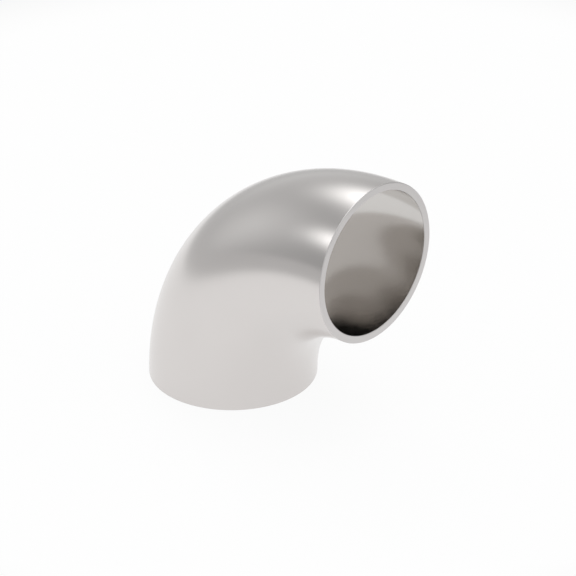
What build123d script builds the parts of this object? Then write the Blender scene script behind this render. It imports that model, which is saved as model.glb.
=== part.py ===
from build123d import *

import os

# Ninety degree butt-weld elbow in thin-walled stainless steel tube.
#
# One piece: a round tube carried through a quarter turn, with no straight length at either end. Both ends
# are cut square to the tube's own axis and lightly deburred inside and out, ready to be butted to a pipe of
# the same outside diameter and wall and welded.
#
# Frame, in millimetres: the origin is the centre of the lower end, which stands on the XY plane. The tube
# leaves that end along +Z and bends towards +X, so the upper end faces +X. The bend lies in the XZ plane.

# Driving dimensions, in millimetres and degrees.
TUBE_OUTSIDE_DIAMETER = 42.4
WALL_THICKNESS = 2.0
BEND_CENTRELINE_RADIUS = 47.5
BEND_ANGLE = 90.0
DEBURRED_EDGE = 0.2

# The tube's outer and bore radius, and the line that it is bent about.
OUTER_RADIUS = TUBE_OUTSIDE_DIAMETER / 2
BORE_RADIUS = OUTER_RADIUS - WALL_THICKNESS
BEND_AXIS = Axis((BEND_CENTRELINE_RADIUS, 0, 0), (0, 1, 0))


def tube_section():
    """The tube's ring-shaped cross-section, flat on the XY plane round the origin."""
    return Circle(OUTER_RADIUS) - Circle(BORE_RADIUS)


def end_edges(tube):
    """The four circles where the outer wall and the bore meet the two flat ends."""
    return [edge for end in tube.faces().filter_by(GeomType.PLANE) for edge in end.edges()]


def make_elbow():
    """The section turned through the bend, then deburred round both ends."""
    bent_tube = revolve(tube_section(), axis=BEND_AXIS, revolution_arc=BEND_ANGLE)
    return chamfer(end_edges(bent_tube), length=DEBURRED_EDGE)


os.makedirs("parts", exist_ok=True)
export_step(make_elbow(), "parts/elbow.step")
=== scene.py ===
import math

import bpy
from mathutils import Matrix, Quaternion, Vector


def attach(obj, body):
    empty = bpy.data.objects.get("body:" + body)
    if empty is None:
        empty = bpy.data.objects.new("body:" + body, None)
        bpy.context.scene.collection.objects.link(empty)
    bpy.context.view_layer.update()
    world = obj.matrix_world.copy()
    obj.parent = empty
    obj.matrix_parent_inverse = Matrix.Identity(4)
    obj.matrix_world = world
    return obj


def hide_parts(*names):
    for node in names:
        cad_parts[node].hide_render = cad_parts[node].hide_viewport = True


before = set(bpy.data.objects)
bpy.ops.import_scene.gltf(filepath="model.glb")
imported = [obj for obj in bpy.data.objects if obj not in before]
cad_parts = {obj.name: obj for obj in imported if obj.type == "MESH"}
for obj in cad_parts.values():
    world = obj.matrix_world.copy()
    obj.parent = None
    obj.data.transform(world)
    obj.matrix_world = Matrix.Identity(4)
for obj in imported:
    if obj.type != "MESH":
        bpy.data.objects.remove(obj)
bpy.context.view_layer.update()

# Ninety degree butt-weld elbow in stainless steel tube, standing on its lower end on a pale floor.
# Lengths are metres. The origin is the middle of the lower end.
# The tube leaves it upwards and bends towards +X.

MM = 0.001

# The elbow's sizes.
TUBE_OUTSIDE_DIAMETER = 42.4 * MM
WALL_THICKNESS = 2.0 * MM
BEND_RADIUS = 47.5 * MM
BEND_ANGLE = math.radians(90.0)
DEBURRED_EDGE = 0.2 * MM

# How finely its surface is divided.
STEPS_ROUND_TUBE = 192
STEPS_ALONG_BEND = 120
STEPS_ACROSS_EDGE = 3

# Nodes that come up often.
MATH = "ShaderNodeMath"
VECTOR_MATH = "ShaderNodeVectorMath"
JOIN_XYZ = "ShaderNodeCombineXYZ"
SPLIT_XYZ = "ShaderNodeSeparateXYZ"


def linear(hex_colour):
    """An sRGB colour such as 8a9b0c as linear red, green, blue and alpha."""
    channels = [int(hex_colour[start:start + 2], 16) / 255 for start in (0, 2, 4)]
    return [c / 12.92 if c <= 0.04045 else ((c + 0.055) / 1.055) ** 2.4 for c in channels] + [1.0]


def add(tree, kind, inputs=None, **settings):
    """Adds a node with its settings, and gives each input a value or a link.

    A node given as an input stands for its first output.
    """
    node = tree.nodes.new(kind)
    for name, value in settings.items():
        setattr(node, name, value)
    for key, value in (inputs or {}).items():
        if isinstance(value, bpy.types.Node):
            value = value.outputs[0]
        if isinstance(value, bpy.types.NodeSocket):
            tree.links.new(value, node.inputs[key])
        else:
            node.inputs[key].default_value = value
    return node


# The elbow's mesh: a wall section swept round a circle, which gives a straight tube, and then bent.

def bent_tube_tree():
    """Geometry Nodes that make a tube with deburred square-cut ends and bend it to one even radius."""
    tree = bpy.data.node_groups.new("bent_tube", "GeometryNodeTree")
    tree.interface.new_socket("Tube", in_out="OUTPUT", socket_type="NodeSocketGeometry")
    for name in ("Outside Diameter", "Wall Thickness", "Bend Radius", "Bend Angle", "Deburred Edge"):
        tree.interface.new_socket(name, in_out="INPUT", socket_type="NodeSocketFloat")
    for name in ("Steps Round", "Steps Along", "Edge Steps"):
        tree.interface.new_socket(name, in_out="INPUT", socket_type="NodeSocketInt")
    for name in ("Outside Finish", "Bore Finish", "End Finish"):
        tree.interface.new_socket(name, in_out="INPUT", socket_type="NodeSocketMaterial")
    given = add(tree, "NodeGroupInput").outputs
    wall, edge, radius, angle = (
        given[name] for name in ("Wall Thickness", "Deburred Edge", "Bend Radius", "Bend Angle")
    )

    # The wall's section: as wide as the wall, as tall as the tube is long, with its corners taken off.
    length = add(tree, MATH, {0: radius, 1: angle}, operation="MULTIPLY")
    middle_diameter = add(tree, MATH, {0: given["Outside Diameter"], 1: wall}, operation="SUBTRACT")
    wall_middle = add(tree, MATH, {0: middle_diameter, 1: 0.5}, operation="MULTIPLY")
    section = add(tree, "GeometryNodeCurvePrimitiveQuadrilateral", {"Width": wall, "Height": length})
    deburred = add(
        tree,
        "GeometryNodeFilletCurve",
        {"Curve": section, "Radius": edge, "Count": given["Edge Steps"]},
        mode="POLY",
    )

    # Only the section's two long sides are divided, so that they can bend.
    here = add(tree, "GeometryNodeInputPosition")
    next_point = add(tree, "GeometryNodeOffsetPointInCurve", {"Offset": 1}).outputs["Point Index"]
    there = add(
        tree, "GeometryNodeFieldAtIndex", {"Index": next_point, "Value": here}, data_type="FLOAT_VECTOR"
    )
    side = add(tree, VECTOR_MATH, {0: here, 1: there}, operation="DISTANCE").outputs["Value"]
    half_length = add(tree, MATH, {0: length, 1: 0.5}, operation="MULTIPLY")
    is_long = add(tree, MATH, {0: side, 1: half_length}, operation="GREATER_THAN")
    cuts_in_long = add(tree, MATH, {0: given["Steps Along"], 1: 1.0}, operation="SUBTRACT")
    cuts = add(tree, MATH, {0: is_long, 1: cuts_in_long}, operation="MULTIPLY")
    divided = add(tree, "GeometryNodeSubdivideCurve", {"Curve": deburred, "Cuts": cuts})
    ring = add(
        tree,
        "GeometryNodeCurvePrimitiveCircle",
        {"Resolution": given["Steps Round"], "Radius": wall_middle},
    )
    straight = add(tree, "GeometryNodeCurveToMesh", {"Curve": ring, "Profile Curve": divided})

    # Where a point lies across the wall and along the tube, and how far round the bend that takes it.
    x, y, height = add(tree, SPLIT_XYZ, {0: here}).outputs
    level = add(tree, JOIN_XYZ, {"X": x, "Y": y})
    from_tube_axis = add(tree, VECTOR_MATH, {0: level}, operation="LENGTH").outputs["Value"]
    across_wall = add(tree, MATH, {0: from_tube_axis, 1: wall_middle}, operation="SUBTRACT")
    up = add(tree, MATH, {0: height, 1: half_length}, operation="ADD")
    turned = add(tree, MATH, {0: up, 1: radius}, operation="DIVIDE")

    # The true surface direction: away from the nearest point of a core,
    # which lies one edge width inside the wall.
    half_wall = add(tree, MATH, {0: wall, 1: 0.5}, operation="MULTIPLY")
    core_width = add(tree, MATH, {0: half_wall, 1: edge}, operation="SUBTRACT")
    core_length = add(tree, MATH, {0: half_length, 1: edge}, operation="SUBTRACT")
    core_far = add(tree, JOIN_XYZ, {"X": core_width, "Y": core_length})
    core_near = add(tree, VECTOR_MATH, {0: core_far, "Scale": -1.0}, operation="SCALE")
    spot = add(tree, JOIN_XYZ, {"X": across_wall, "Y": height})
    below_far = add(tree, VECTOR_MATH, {0: spot, 1: core_far}, operation="MINIMUM")
    in_core = add(tree, VECTOR_MATH, {0: below_far, 1: core_near}, operation="MAXIMUM")
    from_core = add(tree, VECTOR_MATH, {0: spot, 1: in_core}, operation="SUBTRACT")
    outward = add(tree, VECTOR_MATH, {0: from_core}, operation="NORMALIZE")
    outward_level, outward_up, _ = add(tree, SPLIT_XYZ, {0: outward}).outputs
    away_from_axis = add(tree, VECTOR_MATH, {0: level}, operation="NORMALIZE")
    level_part = add(tree, VECTOR_MATH, {0: away_from_axis, "Scale": outward_level}, operation="SCALE")
    upward_part = add(tree, JOIN_XYZ, {"Z": outward_up})
    straight_normal = add(tree, VECTOR_MATH, {0: level_part, 1: upward_part}, operation="ADD")
    bent_normal = add(
        tree,
        "ShaderNodeVectorRotate",
        {"Vector": straight_normal, "Axis": (0, 1, 0), "Angle": turned},
        rotation_type="AXIS_ANGLE",
    )

    # Which faces belong to the cut ends, and which to the bore.
    off_middle = add(tree, MATH, {0: height}, operation="ABSOLUTE")
    is_end = add(tree, MATH, {0: off_middle, 1: core_length}, operation="GREATER_THAN")
    is_bore = add(tree, MATH, {0: across_wall, 1: 0.0}, operation="LESS_THAN")

    directions = add(tree, "GeometryNodeCaptureAttribute", {"Geometry": straight}, domain="POINT")
    directions.capture_items.new("VECTOR", "surface_direction")
    tree.links.new(bent_normal.outputs[0], directions.inputs[1])
    places = add(tree, "GeometryNodeCaptureAttribute", {"Geometry": directions}, domain="FACE")
    places.capture_items.new("BOOLEAN", "is_end")
    places.capture_items.new("BOOLEAN", "is_bore")
    tree.links.new(is_end.outputs[0], places.inputs[1])
    tree.links.new(is_bore.outputs[0], places.inputs[2])

    # Each point swings about the bend's axis by its share of the bend.
    bend_axis = add(tree, JOIN_XYZ, {"X": radius})
    bent = add(
        tree,
        "ShaderNodeVectorRotate",
        {"Vector": level, "Center": bend_axis, "Axis": (0, 1, 0), "Angle": turned},
        rotation_type="AXIS_ANGLE",
    )
    tube = add(tree, "GeometryNodeSetPosition", {"Geometry": places, "Position": bent})
    tube = add(tree, "GeometryNodeSetShadeSmooth", {"Geometry": tube})
    tube = add(
        tree,
        "GeometryNodeSetMeshNormal",
        {"Mesh": tube, "Custom Normal": directions.outputs[1]},
        mode="FREE",
        domain="POINT",
    )
    tube = add(tree, "GeometryNodeRealizeInstances", {"Geometry": tube})
    for faces, finish in (
        (True, "Outside Finish"),
        (places.outputs[2], "Bore Finish"),
        (places.outputs[1], "End Finish"),
    ):
        tube = add(
            tree,
            "GeometryNodeSetMaterial",
            {"Geometry": tube, "Selection": faces, "Material": given[finish]},
        )
    add(tree, "NodeGroupOutput", {0: tube})
    return tree


def make_elbow(outside_finish, bore_finish, end_finish):
    """The elbow as one plain mesh object at the origin."""
    tree = bent_tube_tree()
    maker = bpy.data.objects.new("elbow_maker", bpy.data.meshes.new("elbow_maker"))
    bpy.context.scene.collection.objects.link(maker)
    modifier = maker.modifiers.new("bent_tube", "NODES")
    modifier.node_group = tree
    sizes = {
        "Outside Diameter": TUBE_OUTSIDE_DIAMETER,
        "Wall Thickness": WALL_THICKNESS,
        "Bend Radius": BEND_RADIUS,
        "Bend Angle": BEND_ANGLE,
        "Deburred Edge": DEBURRED_EDGE,
        "Steps Round": STEPS_ROUND_TUBE,
        "Steps Along": STEPS_ALONG_BEND,
        "Edge Steps": STEPS_ACROSS_EDGE,
        "Outside Finish": outside_finish,
        "Bore Finish": bore_finish,
        "End Finish": end_finish,
    }
    for item in tree.interface.items_tree:
        if item.in_out == "INPUT":
            modifier[item.identifier] = sizes[item.name]
    evaluated = maker.evaluated_get(bpy.context.evaluated_depsgraph_get())
    mesh = bpy.data.meshes.new_from_object(evaluated)
    mesh.name = "steel_elbow"
    maker.modifiers.remove(modifier)
    bpy.data.objects.remove(maker)
    elbow = bpy.data.objects.new("steel_elbow", mesh)
    bpy.context.scene.collection.objects.link(elbow)
    return elbow


# Finishes. All three are bare stainless steel: a pale, slightly warm grey metal.
# A picture pixel is 0.25 mm on the elbow, so grinding and tool marks, really 0.05 to 0.1 mm apart,
# are drawn 0.25 mm apart or more to show at all.

LINE_DEPTH = 0.001 * MM
GLOSS_SWING = 0.015
LINE_TROUGH, LINE_CREST = 0.3, 0.7
TONE_DRIFT_SIZE = 14 * MM


def places_on_tube(tree):
    """Distance along the bend, distance from the tube's own axis, and the way round it as two numbers."""
    point = add(tree, "ShaderNodeTexCoord").outputs["Object"]
    from_bend_axis = add(tree, VECTOR_MATH, {0: point, 1: (BEND_RADIUS, 0, 0)}, operation="SUBTRACT")
    x, y, z = add(tree, SPLIT_XYZ, {0: from_bend_axis}).outputs
    back = add(tree, MATH, {0: x, 1: -1.0}, operation="MULTIPLY")
    turned = add(tree, MATH, {0: z, 1: back}, operation="ARCTAN2")
    along = add(tree, MATH, {0: turned, 1: BEND_RADIUS}, operation="MULTIPLY")
    in_bend_plane = add(tree, JOIN_XYZ, {"X": x, "Z": z})
    reach = add(tree, VECTOR_MATH, {0: in_bend_plane}, operation="LENGTH").outputs["Value"]
    inwards = add(tree, MATH, {0: BEND_RADIUS, 1: reach}, operation="SUBTRACT")
    section = add(tree, JOIN_XYZ, {"X": inwards, "Y": y})
    from_tube_axis = add(tree, VECTOR_MATH, {0: section}, operation="LENGTH").outputs["Value"]
    direction = add(tree, VECTOR_MATH, {0: section}, operation="NORMALIZE")
    round_x, round_y, _ = add(tree, SPLIT_XYZ, {0: direction}).outputs
    return along, from_tube_axis, round_x, round_y


def steel_finish(name, colour, darker, roughness, line_spacing, line_length, rings_on_end=False):
    """Bare steel with fine lines round the tube, or in rings on a cut end, and a faint drift of tone."""
    material = bpy.data.materials.new(name)
    material.use_nodes = True
    tree = material.node_tree
    steel = tree.nodes["Principled BSDF"]
    steel.inputs["Metallic"].default_value = 1.0
    along, from_tube_axis, round_x, round_y = places_on_tube(tree)
    across_lines = from_tube_axis if rings_on_end else along
    spot = add(tree, JOIN_XYZ, {"X": across_lines, "Y": round_x, "Z": round_y})
    lengthwise = TUBE_OUTSIDE_DIAMETER / 2 / line_length
    stretch = (1 / line_spacing, lengthwise, lengthwise)
    stretched = add(tree, VECTOR_MATH, {0: spot, 1: stretch}, operation="MULTIPLY")
    lines = add(
        tree,
        "ShaderNodeTexNoise",
        {"Vector": stretched, "Scale": 1.0, "Detail": 2.0, "Roughness": 0.6},
    )
    point = add(tree, "ShaderNodeTexCoord").outputs["Object"]
    drift = add(tree, "ShaderNodeTexNoise", {"Vector": point, "Scale": 1 / TONE_DRIFT_SIZE, "Detail": 2.0})
    tone = add(
        tree, "ShaderNodeMix", {0: drift, 6: linear(colour), 7: linear(darker)}, data_type="RGBA"
    )
    gloss = add(
        tree,
        "ShaderNodeMapRange",
        {
            "Value": lines,
            "From Min": LINE_TROUGH,
            "From Max": LINE_CREST,
            "To Min": roughness - GLOSS_SWING,
            "To Max": roughness + GLOSS_SWING,
        },
    )
    relief = add(tree, "ShaderNodeBump", {"Height": lines, "Strength": 1.0, "Distance": LINE_DEPTH})
    tree.links.new(tone.outputs[2], steel.inputs["Base Color"])
    tree.links.new(gloss.outputs[0], steel.inputs["Roughness"])
    tree.links.new(relief.outputs[0], steel.inputs["Normal"])
    return material


# Outside: ground satin with a fine belt, round the bend.
# It spreads the lights into soft bars, with a faint grain.
satin_ground_outside = steel_finish(
    "stainless_steel_satin_ground",
    colour="dad6d4",
    darker="d7d3d1",
    roughness=0.2,
    line_spacing=0.35 * MM,
    line_length=9 * MM,
)

# Bore: as drawn and pickled, left unground.
# It is smoother than the outside, so it mirrors its own wall.
pickled_bore = steel_finish(
    "stainless_steel_pickled",
    colour="d8d5d2",
    darker="d5d2cf",
    roughness=0.15,
    line_spacing=0.8 * MM,
    line_length=6 * MM,
)

# Cut ends: faced square on a lathe.
# The turned rings scatter light, so they are the dullest and most even of the three.
faced_ends = steel_finish(
    "stainless_steel_faced",
    colour="d4d1d0",
    darker="d1cecd",
    roughness=0.42,
    line_spacing=0.25 * MM,
    line_length=12 * MM,
    rings_on_end=True,
)

elbow = make_elbow(satin_ground_outside, pickled_bore, faced_ends)
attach(elbow, "root")
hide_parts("elbow")


# The floor: pale card under a glow, which is a painted pool of light: white round the elbow and, as painted
# shade, greyer far from it.
# White is most of what the camera and the steel see of it, at the same level for both.
# The rest is the card itself, with the elbow's shadow.
# The painted pool's middle is about where the middle of the picture falls on the floor.

FLOOR_RADIUS = 12.0
FLOOR_SIDES = 96
FLOOR_GAP = 0.1 * MM
WHITE_IN_PICTURE = 0.92
WHITE_IN_STEEL = 0.85
# The painted pool of light: its middle, how far it stays white, where its painted fade to grey ends, and
# that grey's level.
WHITE_MIDDLE = (-15 * MM, 40 * MM, 0)
WHITE_REACH = 150 * MM
GREY_FROM = 240 * MM
GREY = 0.55


def make_floor():
    """A large round floor, just under the elbow's lower end."""
    mesh = bpy.data.meshes.new("studio_floor")
    turns = [math.tau * side / FLOOR_SIDES for side in range(FLOOR_SIDES)]
    rim = [(FLOOR_RADIUS * math.cos(turn), FLOOR_RADIUS * math.sin(turn), -FLOOR_GAP) for turn in turns]
    mesh.from_pydata(rim, [], [range(FLOOR_SIDES)])
    floor = bpy.data.objects.new("studio_floor", mesh)
    bpy.context.scene.collection.objects.link(floor)
    material = bpy.data.materials.new("pale_card")
    material.use_nodes = True
    tree = material.node_tree
    tree.nodes.clear()
    card = add(tree, "ShaderNodeBsdfDiffuse", {"Color": linear("f4f4f4")})
    point = add(tree, "ShaderNodeTexCoord").outputs["Object"]
    off_middle = add(tree, VECTOR_MATH, {0: point, 1: WHITE_MIDDLE}, operation="DISTANCE").outputs["Value"]
    # The glow's strength paints the pool of light: 1 near its middle, falling to the painted grey far from
    # it.
    level = add(
        tree,
        "ShaderNodeMapRange",
        {"Value": off_middle, "From Min": WHITE_REACH, "From Max": GREY_FROM, "To Min": 1.0, "To Max": GREY},
        interpolation_type="SMOOTHSTEP",
    )
    # The glow is no lamp. It is the white backdrop plus the painted pool of light, and the steel mirrors it
    # too.
    white = add(tree, "ShaderNodeEmission", {"Strength": level})
    ray = add(tree, "ShaderNodeLightPath").outputs
    in_steel = add(tree, MATH, {0: ray["Is Glossy Ray"], 1: ray["Is Transmission Ray"]}, operation="MAXIMUM")
    steel_share = add(tree, MATH, {0: in_steel, 1: WHITE_IN_STEEL}, operation="MULTIPLY")
    share = add(
        tree,
        MATH,
        {0: ray["Is Camera Ray"], 1: WHITE_IN_PICTURE, 2: steel_share},
        operation="MULTIPLY_ADD",
    )
    shown = add(tree, "ShaderNodeMixShader", {0: share, 1: card, 2: white})
    add(tree, "ShaderNodeOutputMaterial", {"Surface": shown})
    mesh.materials.append(material)
    return floor


make_floor()


# Light: an even dome, a touch cool, with soft lights in it.
# The lamp and the window make the elbow's two highlights, and the walls the paler bands beside them.
# The fills light its other sides, and the ceiling brings the whole to a plain level.

DOME_LEVEL = 0.4
DOME_COLOUR = (0.99, 1.0, 1.0, 1)

# Azimuth from +X towards +Y, elevation, and spread, in degrees, and strength.
SOFT_LIGHTS = {
    "front_left_lamp": (-130, 35, 9, 1.7),
    "rear_window": (140, 50, 15, 1.8),
    "left_wall": (-165, 15, 25, 0.35),
    "rear_wall": (140, 0, 30, 0.3),
    "front_fill": (-50, 30, 30, 0.8),
    "right_fill": (30, 35, 25, 0.8),
    "ceiling_panel": (90, 85, 20, 2.5),
}


def light_studio():
    """The world behind everything, which lights the elbow and the floor."""
    world = bpy.data.worlds.new("studio")
    bpy.context.scene.world = world
    world.use_nodes = True
    tree = world.node_tree
    tree.nodes.clear()
    direction = add(tree, "ShaderNodeTexCoord").outputs["Generated"]
    level = DOME_LEVEL
    for azimuth, elevation, spread, strength in SOFT_LIGHTS.values():
        a, e = math.radians(azimuth), math.radians(elevation)
        towards = (math.cos(a) * math.cos(e), math.sin(a) * math.cos(e), math.sin(e))
        facing = add(tree, VECTOR_MATH, {0: direction, 1: towards}, operation="DOT_PRODUCT").outputs["Value"]
        short = add(tree, MATH, {0: facing, 1: 1.0}, operation="SUBTRACT")
        off = add(tree, MATH, {0: short, 1: 1 - math.cos(math.radians(spread))}, operation="DIVIDE")
        glow = add(tree, MATH, {0: off}, operation="EXPONENT")
        level = add(tree, MATH, {0: glow, 1: strength, 2: level}, operation="MULTIPLY_ADD")
    background = add(tree, "ShaderNodeBackground", {"Color": DOME_COLOUR, "Strength": level})
    add(tree, "ShaderNodeOutputWorld", {"Surface": background})


light_studio()


# Camera, placed for a 576 x 576 picture.

CAMERA_AZIMUTH = math.radians(41.0)
CAMERA_ELEVATION = math.radians(29.5)
CAMERA_ROLL = math.radians(-0.8)
CAMERA_DISTANCE = 6.4
CAMERA_REACH = 100.0
SENSOR_WIDTH = 36
PICTURE_SIZE = 576
TUBE_DIAMETER_IN_PIXELS = 169.1
AIMED_AT = Vector((BEND_RADIUS / 2, 0, BEND_RADIUS / 2))
AIM_IN_PICTURE = (303.8, 316.1)


def make_camera():
    """The camera looks at the elbow past its upper end, a little from above, and turned by the roll."""
    back = Vector((
        math.sin(CAMERA_AZIMUTH) * math.cos(CAMERA_ELEVATION),
        -math.cos(CAMERA_AZIMUTH) * math.cos(CAMERA_ELEVATION),
        math.sin(CAMERA_ELEVATION),
    ))
    data = bpy.data.cameras.new("camera")
    data.sensor_width = SENSOR_WIDTH
    picture_width = PICTURE_SIZE / TUBE_DIAMETER_IN_PIXELS * TUBE_OUTSIDE_DIAMETER
    data.lens = SENSOR_WIDTH * CAMERA_DISTANCE / picture_width
    data.shift_x = (PICTURE_SIZE / 2 - AIM_IN_PICTURE[0]) / PICTURE_SIZE
    data.shift_y = (AIM_IN_PICTURE[1] - PICTURE_SIZE / 2) / PICTURE_SIZE
    data.clip_end = CAMERA_REACH
    camera = bpy.data.objects.new("camera", data)
    bpy.context.scene.collection.objects.link(camera)
    camera.rotation_mode = "QUATERNION"
    camera.rotation_quaternion = Quaternion(back, CAMERA_ROLL) @ back.to_track_quat("Z", "Y")
    camera.location = AIMED_AT + back * CAMERA_DISTANCE
    bpy.context.scene.camera = camera


make_camera()
bpy.context.scene.view_settings.view_transform = "Standard"
